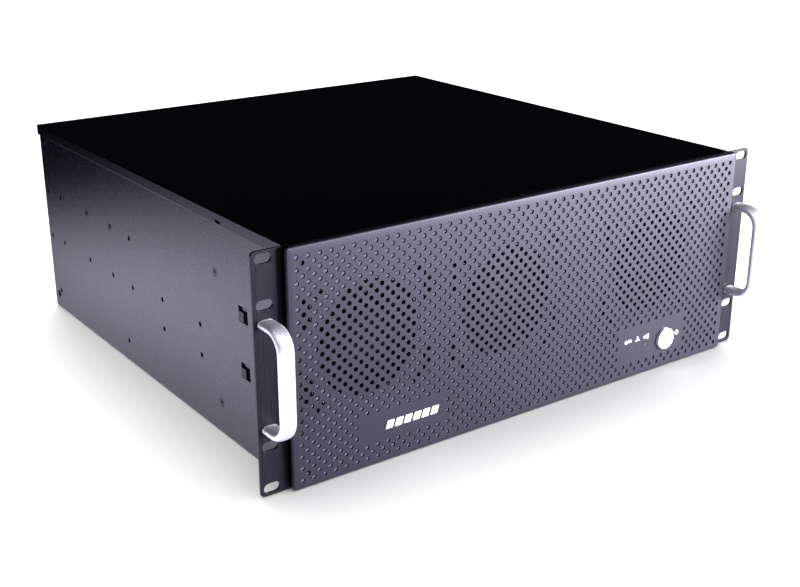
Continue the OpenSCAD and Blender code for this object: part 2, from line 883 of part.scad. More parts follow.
module fan_screws() {
  recess = [4, 0.9];
  color([0.25, 0.25, 0.27])
  fan_screw_places()
    difference() {
      union() {
        sunk_head(sunk_d, fan_screw_d);
        translate([0, 0, sunk_l]) cylinder(d = fan_screw_d, h = fan_screw_l);
      }
      cube([recess[0], recess[1], 1.6], center = true);
      cube([recess[1], recess[0], 1.6], center = true);
    }
}

// ---------- drives ----------

// Middle of the drive with this index, counted from 0 at the left
function drive_x(i) = (i - (drive_n - 1) / 2) * drive_pitch;

module drive_cage() {
  win_w = 22;
  side_hole_y = [70, 120, 170];
  side_hole_z = 60;
  side_hole_d = 28;
  foot_w = 14;
  cage_h = drive_z + drive_h + 0.3 - cage_floor_z;
  cage_l = drive_l + 8;
  color([0.6, 0.61, 0.63])
  difference() {
    union() {
      block(-cage_x, cage_y, cage_floor_z, [2 * cage_x, cage_l, sheet_t]);
      both_sides() {
        block(cage_x - sheet_t, cage_y, floor_z, [sheet_t, cage_l, cage_floor_z + cage_h - floor_z]);
        block(cage_x - sheet_t, cage_y, floor_z, [foot_w, cage_l, sheet_t]);
      }
      block(-cage_x, cage_y, cage_floor_z, [2 * cage_x, sheet_t, cage_h]);
    }
    upright(cage_y - 1, sheet_t + 2)
      for (i = [0 : drive_n - 1])
        translate([drive_x(i), drive_z + drive_h / 2])
          square([win_w, drive_h - 12], center = true);
    for (i = [0 : drive_n - 1])
      translate([drive_x(i), ear_y + drive_y + drive_l / 2, cage_floor_z - 1])
        linear_extrude(5) rotate(90) slot(110, 8);
    both_sides()
      for (y = side_hole_y)
        rod_x(cage_x - 4, y, side_hole_z, 8, side_hole_d);
  }
}

module drive(i) {
  x = drive_x(i - 1) - drive_w / 2;
  plate = 2;
  color([0.66, 0.67, 0.69])
  difference() {
    union() {
      block(x, drive_y, drive_z, [drive_w - plate, drive_l, drive_h]);
      sideways(x + drive_w - plate, plate)
        translate([drive_y + 2, drive_z + 2]) round_rect(0, 0, drive_l - 4, drive_h - 4, 5);
    }
    block(x - 1, drive_y + 14, drive_z + 8, [2.6, drive_l - 40, drive_h - 16]);
    rod_x(x + drive_w - 0.8, drive_y + 58, drive_z + drive_h / 2, 2, 78);
    block(x + 5, drive_y + drive_l - 6, drive_z + 14, [8, 8, 44]);
    for (y = [28, 70, 130])
      for (z = [drive_z - 1, drive_z + drive_h - 4])
        translate([x + 6.5, ear_y + drive_y + y - 12, z]) cylinder(d = 2.8, h = 5);
  }
}

module drive_1() { drive(1); }
module drive_2() { drive(2); }
module drive_3() { drive(3); }
module drive_4() { drive(4); }
module drive_5() { drive(5); }
module drive_6() { drive(6); }
module drive_7() { drive(7); }
module drive_8() { drive(8); }

// Bar across the tops of the drives, clipped over the cage's sides
module drive_retainer() {
  bar_y = 96;
  bar_l = 40;
  top = drive_z + drive_h + 0.4;
  color([0.5, 0.51, 0.53])
  difference() {
    union() {
      block(-cage_x - sheet_t, bar_y, top, [2 * cage_x + 2 * sheet_t, bar_l, sheet_t]);
      for (y = [bar_y, bar_y + bar_l - sheet_t])
        block(-cage_x + 3, y, top, [2 * cage_x - 6, sheet_t, 8]);
      both_sides()
        block(cage_x, bar_y, top - 22, [sheet_t, bar_l, 22 + sheet_t]);
    }
    for (i = [0 : drive_n - 1])
      translate([drive_x(i), ear_y + bar_y + bar_l / 2, top - 1])
        linear_extrude(5) slot(20, 12);
    both_sides()
      rod_x(cage_x - 1, bar_y + bar_l / 2, top - 12, 4, 3.4);
  }
}

module drive_backplane() {
  air_slot_z = [72, 92];
  socket_l = 9.4;
  color([0.05, 0.32, 0.14])
  upright(backplane_y, pcb_t)
    difference() {
      round_rect(-cage_x + 2, drive_z, 2 * cage_x - 4, drive_h, 2);
      for (i = [0 : drive_n - 1])
        for (z = air_slot_z)
          translate([drive_x(i), z]) rotate(90) slot(14, 12);
    }
  color([0.08, 0.08, 0.09]) {
    for (i = [0 : drive_n - 1])
      block(drive_x(i) - drive_w / 2 + 5.3, backplane_y - socket_l, drive_z + 15, [7.4, socket_l, 42]);
    for (x = data_plug_x)
      block(x - 7, backplane_y + pcb_t, data_lead_z - 3.6, [14, plug_l, 8]);
    block(drive_lead_x - 9, backplane_y + pcb_t, lead_z - 5, [18, plug_l, 10]);
  }
}

// Brace from side wall to side wall, over the boards
module cross_brace() {
  brace_y = 284;
  brace_l = 66;
  top = 150;
  leg_z = 106;
  lip_h = 10;
  color([0.14, 0.14, 0.15])
  difference() {
    union() {
      block(-inner_x, brace_y, top, [2 * inner_x, brace_l, sheet_t]);
      for (y = [brace_y, brace_y + brace_l - sheet_t])
        block(-inner_x + 14, y, top - lip_h, [2 * inner_x - 28, sheet_t, lip_h + sheet_t]);
      both_sides()
        block(inner_x - sheet_t, brace_y, leg_z, [sheet_t, brace_l, top - leg_z + sheet_t]);
    }
    both_sides()
      for (y = brace_hole_y)
        rod_x(inner_x - 4, y, row_z[1], 6, brace_screw_d + 0.1);
    for (x = [-160 : 40 : 160])
      translate([x, ear_y + brace_y + brace_l / 2, top - 1]) linear_extrude(4) slot(26, 18);
  }
}

// ---------- fasteners ----------

module bracket_screws() {
  screw_l = 7;
  color([0.55, 0.55, 0.57])
  both_sides()
    for (z = plate_screw_z)
      difference() {
        union() {
          translate([wall_x, ear_y + plate_screw_y, z]) rotate([0, -90, 0])
            sunk_head(sunk_d, plate_screw_d);
          rod_x(wall_x - screw_l, plate_screw_y, z, screw_l - sheet_t + 0.4, plate_screw_d);
        }
        for (s = [[4, 0.9], [0.9, 4]])
          translate([wall_x, ear_y + plate_screw_y, z]) cube([1.6, s[0], s[1]], center = true);
      }
}

module brace_screws() {
  head_d = 5;
  head_l = 0.5;
  shank_l = 6;
  color([0.15, 0.15, 0.16])
  both_sides()
    for (y = brace_hole_y)
      screw_x(wall_x, y, row_z[1], head_d, head_l, brace_screw_d, shank_l);
}

module rear_panel_screws() {
  color([0.7, 0.7, 0.72])
  both_sides()
    for (z = rear_screw_z)
      screw_x(wall_x, rear_screw_y, z, 6, 0.9, 3, 6);
}

// ---------- boards and cards ----------

module main_board() {
  color([0.05, 0.28, 0.12])
  difference() {
    block(board_x0, board_y0, board_z, [board_w, board_w, pcb_t]);
    for (p = board_hole_places())
      translate([p[0], ear_y + p[1], board_z - 1]) cylinder(d = 3.9, h = pcb_t + 2);
  }
}

function board_hole_places() = [
  [board_x0 + 6.35, board_y0 + 6], [board_x0 + board_w - 6.35, board_y0 + 6],
  [board_x0 + 6.35, board_y0 + 163], [board_x0 + board_w - 6.35, board_y0 + 163]
];

module board_standoffs() {
  color([0.8, 0.65, 0.3])
  for (p = board_hole_places()) {
    translate([p[0], ear_y + p[1], floor_z]) cylinder(d = 6.5, h = board_z - floor_z, $fn = 6);
    translate([p[0], ear_y + p[1], board_z]) cylinder(d = 3.8, h = pcb_t);
    translate([p[0], ear_y + p[1], board_top]) cylinder(d = 6, h = 2);
  }
}

module board_parts() {
  color([0.1, 0.1, 0.11]) {
    // Processor socket
    block(-58, board_y0 + 60, board_top, [42, 42, socket_h]);
    // Memory sockets
    for (x = memory_x)
      difference() {
        block(x, board_y0 + 4, board_top, [7, 137, 9]);
        block(x + 2.6, board_y0 + 6, board_top + 2, [1.8, 133, 10]);
      }
    // Card slot
    difference() {
      block(slot_x0 - 4, board_y0 + 30, board_top, [8, 90, 11]);
      block(slot_x0 - 1, board_y0 + 31, board_top + 3, [2, 88, 10]);
    }
    // Power and data headers along the front edge
    block(board_lead_x - 7, board_y0 + 11, board_top, [14, 12, 14]);
    for (x = data_header_x)
      block(x - 7, board_y0 + 2, board_top, [14, 10, 9]);
  }
}

module cpu_heatsink() {
  base_x = -72;
  base_y = board_y0 + 46;
  size = 70;
  base_z = board_top + socket_h;
  fin_h = 32;
  fins = 18;
  color([0.75, 0.76, 0.78]) {
    block(base_x, base_y, base_z, [size, size, 4]);
    for (i = [0 : fins - 1])
      block(base_x + i * (size - 1) / (fins - 1), base_y, base_z + 4, [1, size, fin_h]);
  }
}

module memory_modules() {
  color([0.06, 0.3, 0.15])
  for (x = memory_x) {
    block(x + 2.8, board_y0 + 7, board_top + 3, [1.3, 131, 30]);
    for (i = [0 : 7])
      block(x + 1.6, board_y0 + 11 + i * 15.6, board_top + 17, [1.2, 11, 13]);
  }
}

// Network and data sockets at the rear edge of the board, in their cover plate
module io_ports() {
  port_y = rear_in_y - 22;
  port_l = 24.6;
  color([0.7, 0.71, 0.73]) {
    difference() {
      upright(rear_in_y, sheet_t) translate([io_x0 + 0.2, io_z0 + 0.2]) square([io_w - 0.4, io_h - 0.4]);
      upright(rear_in_y - 1, sheet_t + 2) {
        for (x = net_port_x)
          translate([x, board_top - 0.2]) square([16.4, 14]);
        for (x = data_port_x)
          translate([x, board_top - 0.2]) square([14.8, 16.8]);
        for (i = [0 : 11])
          translate([io_x0 + 10 + i * 12, io_z0 + 35]) circle(d = 5);
      }
    }
    for (x = net_port_x)
      difference() {
        block(x + 0.2, port_y, board_top, [16, port_l, 13.6]);
        block(x + 2.3, port_y + 6, board_top + 1.6, [11.8, port_l, 8.6]);
      }
    for (x = data_port_x)
      difference() {
        block(x + 0.2, port_y, board_top, [14.4, port_l, 16.4]);
        for (z = [1.2, 8.9])
          block(x + 0.8, port_y + 6, board_top + z, [13.2, port_l, 6.2]);
      }
  }
}

module storage_card() {
  card_y = board_y0 + 24;
  card_l = 140;
  color([0.04, 0.25, 0.3]) {
    block(slot_x0 - 0.8, card_y + 8, board_top + 4, [pcb_t, 86, 10]);
    block(slot_x0 - 0.8, card_y, board_top + 12, [pcb_t, card_l, 54]);
  }
  color([0.12, 0.12, 0.13]) {
    block(slot_x0 - 13.8, card_y + 40, board_top + 26, [13, 44, 34]);
    for (z = [36, 54])
      block(slot_x0 - 12.8, card_y - 4, board_top + z - 24, [12, 14, 12]);
  }
  color([0.72, 0.73, 0.75]) {
    slot_cover(0);
    block(slot_x0 - 0.8, card_y + card_l - 1, board_top + 30, [pcb_t, rear_in_y - card_y - card_l, 20]);
  }
}

// Blade behind the slot window, with a tab folded over the shelf
module slot_cover(i) {
  x = slot_x0 - i * slot_pitch;
  difference() {
    union() {
      block(x - 9, rear_in_y - 0.9, 9.6, [18, 0.9, shelf_z + sheet_t + 1 - 9.6]);
      block(x - 9, rear_in_y - 12, shelf_z + sheet_t, [18, 12, 1]);
    }
    translate([x, ear_y + rear_in_y - 6, shelf_z - 2]) cylinder(d = 3.4, h = 8);
  }
}

module slot_covers() {
  color([0.7, 0.71, 0.73])
  for (i = [1 : slot_n - 1])
    slot_cover(i);
}

module slot_screws() {
  tab_top = shelf_z + sheet_t + 1;
  color([0.8, 0.8, 0.82])
  for (i = [0 : slot_n - 1])
    translate([slot_x0 - i * slot_pitch, ear_y + rear_in_y - 6, 0]) {
      translate([0, 0, tab_top - 6]) cylinder(d = 3, h = 6.5);
      difference() {
        translate([0, 0, tab_top]) cylinder(d = 6, h = 2.2);
        translate([0, 0, tab_top + 2.4]) cube([4, 0.9, 1.4], center = true);
        translate([0, 0, tab_top + 2.4]) cube([0.9, 4, 1.4], center = true);
      }
    }
}

// ---------- power supply ----------

function psu_screw_places() = [
  [psu_x0 + 6, psu_z0 + 7], [psu_x0 + 144, psu_z0 + 7],
  [psu_x0 + 6, psu_z0 + 80], [psu_x0 + 144, psu_z0 + 80]
];

module psu_case() {
  rear_in = rear_in_y - psu_t;
  color([0.35, 0.35, 0.37]) {
    difference() {
      block(psu_x0, psu_y0, psu_z0, [psu_w, psu_l, psu_h]);
      block(psu_x0 + psu_t, psu_y0 + psu_t, psu_z0 + psu_t,
        [psu_w - 2 * psu_t, psu_l - 2 * psu_t, psu_h - 2 * psu_t]);
      rod_y(psu_fan_x, psu_mid_z, rear_in - 1, psu_t + 2, psu_fan_cut_d, $fn = FINE);
      upright(rear_in - 1, psu_t + 2) {
        translate([inlet_x, inlet_z]) square([inlet_w + 2 * play, inlet_h + 2 * play], center = true);
        translate([rocker_x, rocker_z]) square([rocker_w + play, rocker_h + play], center = true);
        for (p = psu_screw_places())
          translate(p) circle(d = 3);
      }
      upright(psu_y0 - 1, psu_t + 2) {
        for (i = [0 : 12])
          translate([psu_x0 + 15 + i * 10, psu_z0 + 58]) rotate(90) slot(34, 4);
        for (x = psu_lead_x)
          translate([x, lead_z]) circle(d = 12);
      }
    }
    // Rear guard rings and cross bars, and the motor plate
    for (r = [14, 22, 30])
      translate([psu_fan_x, ear_y + rear_in_y - 1.6, psu_mid_z]) rotate([-90, 0, 0])
        difference() {
          cylinder(r = r + 0.9, h = 1.6, $fn = FINE);
          translate([0, 0, -1]) cylinder(r = r - 0.9, h = 4, $fn = FINE);
        }
    for (a = [45, 135, 225, 315])
      translate([psu_fan_x, ear_y + rear_in_y - 1.5, psu_mid_z]) rotate([0, a, 0])
        translate([12, 0, -1]) cube([28, 1.4, 2]);
    difference() {
      rod_y(psu_fan_x, psu_mid_z, rear_in_y - 5.4, 5.2, 28);
      rod_y(psu_fan_x, psu_mid_z, rear_in_y - 7, 10, shaft_bore_d);
    }
  }
}

module psu_fan_rotor() {
  color([0.1, 0.1, 0.1]) rotor(psu_fan_x, rear_in_y - 20.6, psu_mid_z, 37, 14, 14.6, 20);
}

module psu_inlet() {
  color([0.08, 0.08, 0.08])
  difference() {
    block(inlet_x - inlet_w / 2, mouth_y - 20, inlet_z - inlet_h / 2, [inlet_w, 20, inlet_h]);
    block(inlet_x - 12, mouth_y - 16, inlet_z - 8.2, [24, 20, 16.4]);
  }
  color([0.8, 0.8, 0.75])
  for (p = [[-7, -1.5], [0, 2], [7, -1.5]])
    block(inlet_x + p[0] - 1, mouth_y - 17, inlet_z + p[1] - 2, [2, 14, 4]);
}

module psu_switch_frame() {
  color([0.08, 0.08, 0.08])
  difference() {
    block(rocker_x - rocker_w / 2, mouth_y - 12, rocker_z - rocker_h / 2, [rocker_w, 12, rocker_h]);
    block(rocker_x - 4.6, mouth_y - 9, rocker_z - 7.8, [9.2, 12, 15.6]);
    rod_x(rocker_x - 6, mouth_y - 2.5, rocker_z, 12, 2.1);
  }
}

// Rests tilted to one side; it turns about its pins
module psu_rocker() {
  color([0.75, 0.1, 0.08])
  translate([rocker_x, ear_y + mouth_y - 2.5, rocker_z]) rotate([rocker_rest, 0, 0]) {
    translate([-4.2, 0, 0]) rotate([90, 0, 90]) linear_extrude(8.4)
      polygon([[-3.4, -3.4], [0.6, -7], [2.6, -6.8], [1.6, 0], [2.6, 6.8], [0.6, 7], [-3.4, 3.4]]);
    translate([-5.6, 0, 0]) rotate([0, 90, 0]) cylinder(d = 2, h = 11.2);
  }
}

module psu_screws() {
  color([0.7, 0.7, 0.72])
  for (p = psu_screw_places())
    turned(case_depth)
      screw_y(p[0], p[1], case_depth - 2, 7, 2, 2.8, 6);
}

// A lead that leaves x1 towards the front, steps aside to x2 and goes on to y2
module step_lead(x1, y1, x2, y2, step_y, z, d, r) {
  side = x2 < x1 ? -1 : 1;
  rod_y(x1, z, step_y + r, y1 - step_y - r, d);
  translate([x1 + side * r, ear_y + step_y + r, z]) mirror([side > 0 ? 1 : 0, 0, 0]) rotate(-90) bend(r, d);
  rod_x(min(x1, x2) + r, step_y, z, abs(x2 - x1) - 2 * r, d);
  translate([x2 - side * r, ear_y + step_y - r, z]) mirror([side > 0 ? 1 : 0, 0, 0]) rotate(90) bend(r, d);
  rod_y(x2, z, y2, step_y - r - y2, d);
}

// Supply leads to the board and the drives, and the data leads to the drives
module internal_cables() {
  turn_y = board_y0 - 30;
  plug_y = backplane_y + pcb_t + plug_l;
  color([0.1, 0.1, 0.1]) {
    rod_y(psu_lead_x[0], lead_z, turn_y + lead_r, psu_y0 + 4 - turn_y - lead_r, lead_d);
    translate([psu_lead_x[0] - lead_r, ear_y + turn_y + lead_r, lead_z]) rotate(-90) bend(lead_r, lead_d);
    rod_x(board_lead_x + lead_r, turn_y, lead_z, psu_lead_x[0] - board_lead_x - 2 * lead_r, lead_d);
    translate([board_lead_x + lead_r, ear_y + turn_y + lead_r, lead_z]) rotate(180) bend(lead_r, lead_d);
    rod_y(board_lead_x, lead_z, turn_y + lead_r, board_y0 + 11 - turn_y - lead_r, lead_d);
    step_lead(psu_lead_x[1], psu_y0 + 4, drive_lead_x, plug_y, turn_y - 12, lead_z,
      drive_lead_d, drive_lead_r);
  }
  color([0.5, 0.1, 0.1])
  for (i = [0, 1])
    step_lead(data_header_x[i], board_y0 + 2, data_plug_x[i], plug_y, 232 + i * 9,
      data_lead_z, data_lead_d, data_lead_r);
}

chassis_base();
rear_panel();
fan_plate();
front_top_strip();
top_cover();
cover_thumbscrews();
ear_left();
ear_right();
handle_left();
handle_right();
handle_screws();
bezel();
bezel_spacers();
bezel_nuts();
front_badge();
bracket_screws();
brace_screws();
rear_panel_screws();
power_button();
power_switch();
mute_button();
mute_switch();
led_lenses();
control_board();
control_standoffs();
fan_frame_1();
fan_frame_2();
fan_frame_3();
fan_rotor_1();
fan_rotor_2();
fan_rotor_3();
fan_screws();
drive_cage();
drive_1();
drive_2();
drive_3();
drive_4();
drive_5();
drive_6();
drive_7();
drive_8();
drive_retainer();
drive_backplane();
cross_brace();
main_board();
board_standoffs();
board_parts();
cpu_heatsink();
memory_modules();
io_ports();
storage_card();
slot_covers();
slot_screws();
psu_case();
psu_fan_rotor();
psu_inlet();
psu_switch_frame();
psu_rocker();
psu_screws();
internal_cables();
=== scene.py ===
import math
import bpy
import bmesh
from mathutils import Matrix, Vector, geometry


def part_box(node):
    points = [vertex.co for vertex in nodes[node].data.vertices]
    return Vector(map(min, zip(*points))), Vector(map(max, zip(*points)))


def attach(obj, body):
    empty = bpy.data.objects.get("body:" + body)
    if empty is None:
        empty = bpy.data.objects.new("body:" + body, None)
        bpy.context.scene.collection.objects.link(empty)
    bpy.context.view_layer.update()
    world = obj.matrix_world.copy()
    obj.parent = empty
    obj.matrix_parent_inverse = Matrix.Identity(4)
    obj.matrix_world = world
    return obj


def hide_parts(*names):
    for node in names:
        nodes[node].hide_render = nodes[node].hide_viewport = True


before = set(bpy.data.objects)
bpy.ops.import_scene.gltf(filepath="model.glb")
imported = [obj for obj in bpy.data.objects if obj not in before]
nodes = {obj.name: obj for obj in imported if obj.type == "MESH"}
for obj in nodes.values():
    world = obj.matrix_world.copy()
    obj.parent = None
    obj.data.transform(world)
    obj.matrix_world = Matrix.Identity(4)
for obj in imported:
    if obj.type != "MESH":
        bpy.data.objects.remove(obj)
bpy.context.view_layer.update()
scene = bpy.context.scene
MM = 0.001


# ---------------------------------------------------------------- places taken from the frame
def middle(node):
    """The middle of a node's box, as (x, z)."""
    lo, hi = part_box(node)
    return (lo.x + hi.x) / 2, (lo.z + hi.z) / 2


EAR_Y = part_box("ear_right")[0].y  # the front face of the ears
bezel_lo, bezel_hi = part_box("bezel")
FRONT_Y = bezel_lo.y  # the front face of the bezel
POWER = middle("power_button")
MUTE = middle("mute_button")
lens_r = 0.95 * MM
lens_lo, lens_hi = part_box("led_lenses")
LENSES = [(lens_lo.x + lens_r, POWER[1]), (lens_hi.x - lens_r, POWER[1])]

# ---------------------------------------------------------------- camera, at the photograph's angle
camera_place = (-0.5884, EAR_Y - 0.6401, 0.4168)
yaw, pitch = math.radians(35.92), math.radians(-20.34)
forward = Vector((math.sin(yaw) * math.cos(pitch), math.cos(yaw) * math.cos(pitch), math.sin(pitch)))
camera_data = bpy.data.cameras.new("camera")
camera = bpy.data.objects.new("camera", camera_data)
scene.collection.objects.link(camera)
camera.location = camera_place
camera.rotation_mode = "QUATERNION"
camera.rotation_quaternion = forward.to_track_quat("-Z", "Y")
camera_data.sensor_width = 36
camera_data.lens = 54.3
camera_data.clip_start = 0.01
camera_data.clip_end = 50
scene.camera = camera


# ---------------------------------------------------------------- shader building blocks
def new_material(name):
    m = bpy.data.materials.new(name)
    m.use_nodes = True
    nt = m.node_tree
    nt.nodes.clear()
    out = nt.nodes.new("ShaderNodeOutputMaterial")
    shader = nt.nodes.new("ShaderNodeBsdfPrincipled")
    nt.links.new(shader.outputs[0], out.inputs[0])
    return m, nt, shader


def object_coords(nt, stretch=(1, 1, 1)):
    coords = nt.nodes.new("ShaderNodeTexCoord")
    mapping = nt.nodes.new("ShaderNodeMapping")
    mapping.inputs["Scale"].default_value = stretch
    nt.links.new(coords.outputs["Object"], mapping.inputs["Vector"])
    return mapping.outputs["Vector"]


def noise(nt, vec, scale, detail=2.0, rough=0.5):
    n = nt.nodes.new("ShaderNodeTexNoise")
    n.inputs["Scale"].default_value = scale
    n.inputs["Detail"].default_value = detail
    n.inputs["Roughness"].default_value = rough
    nt.links.new(vec, n.inputs["Vector"])
    return n.outputs["Fac"]


def remap(nt, value, a, b, lo=0.3, hi=0.7, smooth=False):
    """Carry value from lo..hi over to a..b."""
    r = nt.nodes.new("ShaderNodeMapRange")
    if smooth:
        r.interpolation_type = "SMOOTHSTEP"
    r.inputs["From Min"].default_value = lo
    r.inputs["From Max"].default_value = hi
    r.inputs["To Min"].default_value = a
    r.inputs["To Max"].default_value = b
    nt.links.new(value, r.inputs["Value"])
    return r.outputs["Result"]


def combine(nt, operation, a, b):
    """A math node over two outputs of other nodes."""
    m = nt.nodes.new("ShaderNodeMath")
    m.operation = operation
    nt.links.new(a, m.inputs[0])
    nt.links.new(b, m.inputs[1])
    return m.outputs[0]


def mix_colour(nt, fac, a, b):
    """Mix two colours, each of them a constant or the output of another node."""
    m = nt.nodes.new("ShaderNodeMix")
    m.data_type = "RGBA"
    for side, colour in (("A", a), ("B", b)):
        if isinstance(colour, tuple):
            m.inputs[side].default_value = (*colour, 1)
        else:
            nt.links.new(colour, m.inputs[side])
    nt.links.new(fac, m.inputs["Factor"])
    return m.outputs["Result"]


def bump(nt, height, strength, distance):
    b = nt.nodes.new("ShaderNodeBump")
    b.inputs["Strength"].default_value = strength
    b.inputs["Distance"].default_value = distance
    nt.links.new(height, b.inputs["Height"])
    return b.outputs["Normal"]


# ---------------------------------------------------------------- materials
COOL_TINT = (0.80, 0.78, 1.0)


def coat(
    name, dark, light, rough, grain=750, depth=0.00012, strength=0.35, spec=0.5,
    tint=(0.82, 0.80, 1.0), fleck=None,
):
    """Powder coat: orange-peel grain, slow gloss drift, slightly uneven colour, and fine flecks if given."""
    m, nt, shader = new_material(name)
    vec = object_coords(nt)
    colour = mix_colour(nt, remap(nt, noise(nt, vec, 9, 3), 0, 1), dark, light)
    if fleck is not None:
        colour = mix_colour(nt, remap(nt, noise(nt, vec, 780, 1), 0, 1, 0.60, 0.72), colour, fleck)
    nt.links.new(colour, shader.inputs["Base Color"])
    nt.links.new(remap(nt, noise(nt, vec, 38, 4), rough - 0.012, rough + 0.014), shader.inputs["Roughness"])
    nt.links.new(bump(nt, noise(nt, vec, grain, 2.5, 0.55), strength, depth), shader.inputs["Normal"])
    shader.inputs["Specular IOR Level"].default_value = spec
    shader.inputs["Specular Tint"].default_value = (*tint, 1)
    return m


def metal(name, dark, light, rough, stretch=(1, 1, 1), grain=900, depth=0.00004, strength=0.3, metallic=1.0):
    """Bare or plated metal, with grain drawn out along one axis by stretch."""
    m, nt, shader = new_material(name)
    drawn, even = object_coords(nt, stretch), object_coords(nt)
    shader.inputs["Metallic"].default_value = metallic
    colour = mix_colour(nt, remap(nt, noise(nt, even, 14, 3), 0, 1), dark, light)
    nt.links.new(colour, shader.inputs["Base Color"])
    gloss = remap(nt, noise(nt, drawn, grain * 0.4, 3), rough - 0.06, rough + 0.07)
    nt.links.new(gloss, shader.inputs["Roughness"])
    nt.links.new(bump(nt, noise(nt, drawn, grain, 3), strength, depth), shader.inputs["Normal"])
    return m


def plastic(name, dark, light, rough, grain=1400, depth=0.00003, strength=0.25, coat_weight=0.0):
    """Moulded plastic or print: fine grain under an optional clear coat."""
    m, nt, shader = new_material(name)
    vec = object_coords(nt)
    colour = mix_colour(nt, remap(nt, noise(nt, vec, 25, 3), 0, 1), dark, light)
    nt.links.new(colour, shader.inputs["Base Color"])
    nt.links.new(remap(nt, noise(nt, vec, 90, 3), rough - 0.05, rough + 0.05), shader.inputs["Roughness"])
    nt.links.new(bump(nt, noise(nt, vec, grain, 2), strength, depth), shader.inputs["Normal"])
    shader.inputs["Coat Weight"].default_value = coat_weight
    return m


def board(name, green):
    """Solder mask over copper: fine traces show as a faint relief and a change of shade."""
    m, nt, shader = new_material(name)
    vec = object_coords(nt)
    traces = nt.nodes.new("ShaderNodeTexBrick")
    traces.inputs["Scale"].default_value = 160
    traces.inputs["Mortar Size"].default_value = 0.035
    traces.inputs["Color1"].default_value = (*green, 1)
    traces.inputs["Color2"].default_value = (*[c * 0.75 for c in green], 1)
    traces.inputs["Mortar"].default_value = (*[min(1, c * 1.9 + 0.01) for c in green], 1)
    nt.links.new(vec, traces.inputs["Vector"])
    nt.links.new(traces.outputs["Color"], shader.inputs["Base Color"])
    nt.links.new(remap(nt, noise(nt, vec, 60, 3), 0.28, 0.42), shader.inputs["Roughness"])
    nt.links.new(bump(nt, traces.outputs["Fac"], 0.2, 0.00005), shader.inputs["Normal"])
    return m


def lens_material():
    """Smoky, slightly clear plastic of the light guides."""
    m, nt, shader = new_material("led_lens")
    vec = object_coords(nt)
    colour = mix_colour(nt, noise(nt, vec, 400, 2), (0.03, 0.032, 0.036), (0.05, 0.052, 0.058))
    nt.links.new(colour, shader.inputs["Base Color"])
    nt.links.new(remap(nt, noise(nt, vec, 700, 2), 0.10, 0.20), shader.inputs["Roughness"])
    shader.inputs["Transmission Weight"].default_value = 0.35
    return m


ZINC_DARK, ZINC_LIGHT = (0.48, 0.49, 0.51), (0.64, 0.65, 0.67)


def card_material():
    """A green card whose end bracket is bare zinc-plated sheet, told apart by its place."""
    m, nt, shader = new_material("card_green")
    vec = object_coords(nt)
    bracket_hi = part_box("slot_covers")[1]
    xyz = nt.nodes.new("ShaderNodeSeparateXYZ")
    nt.links.new(vec, xyz.inputs[0])
    parts = []
    for axis, edge in (("Y", bracket_hi.y - 6.5 * MM), ("Z", bracket_hi.z - 8 * MM)):
        above = nt.nodes.new("ShaderNodeMath")
        above.operation = "GREATER_THAN"
        above.inputs[1].default_value = edge
        nt.links.new(xyz.outputs[axis], above.inputs[0])
        parts.append(above.outputs[0])
    bracket = combine(nt, "MAXIMUM", *parts)
    grain = remap(nt, noise(nt, vec, 160, 3), 0, 1)
    green = mix_colour(nt, grain, (0.008, 0.060, 0.026), (0.012, 0.085, 0.038))
    zinc = mix_colour(nt, grain, ZINC_DARK, ZINC_LIGHT)
    nt.links.new(mix_colour(nt, bracket, green, zinc), shader.inputs["Base Color"])
    nt.links.new(bracket, shader.inputs["Metallic"])
    nt.links.new(remap(nt, noise(nt, vec, 420, 3), 0.32, 0.44), shader.inputs["Roughness"])
    nt.links.new(bump(nt, noise(nt, vec, 700, 2), 0.3, 0.00004), shader.inputs["Normal"])
    return m


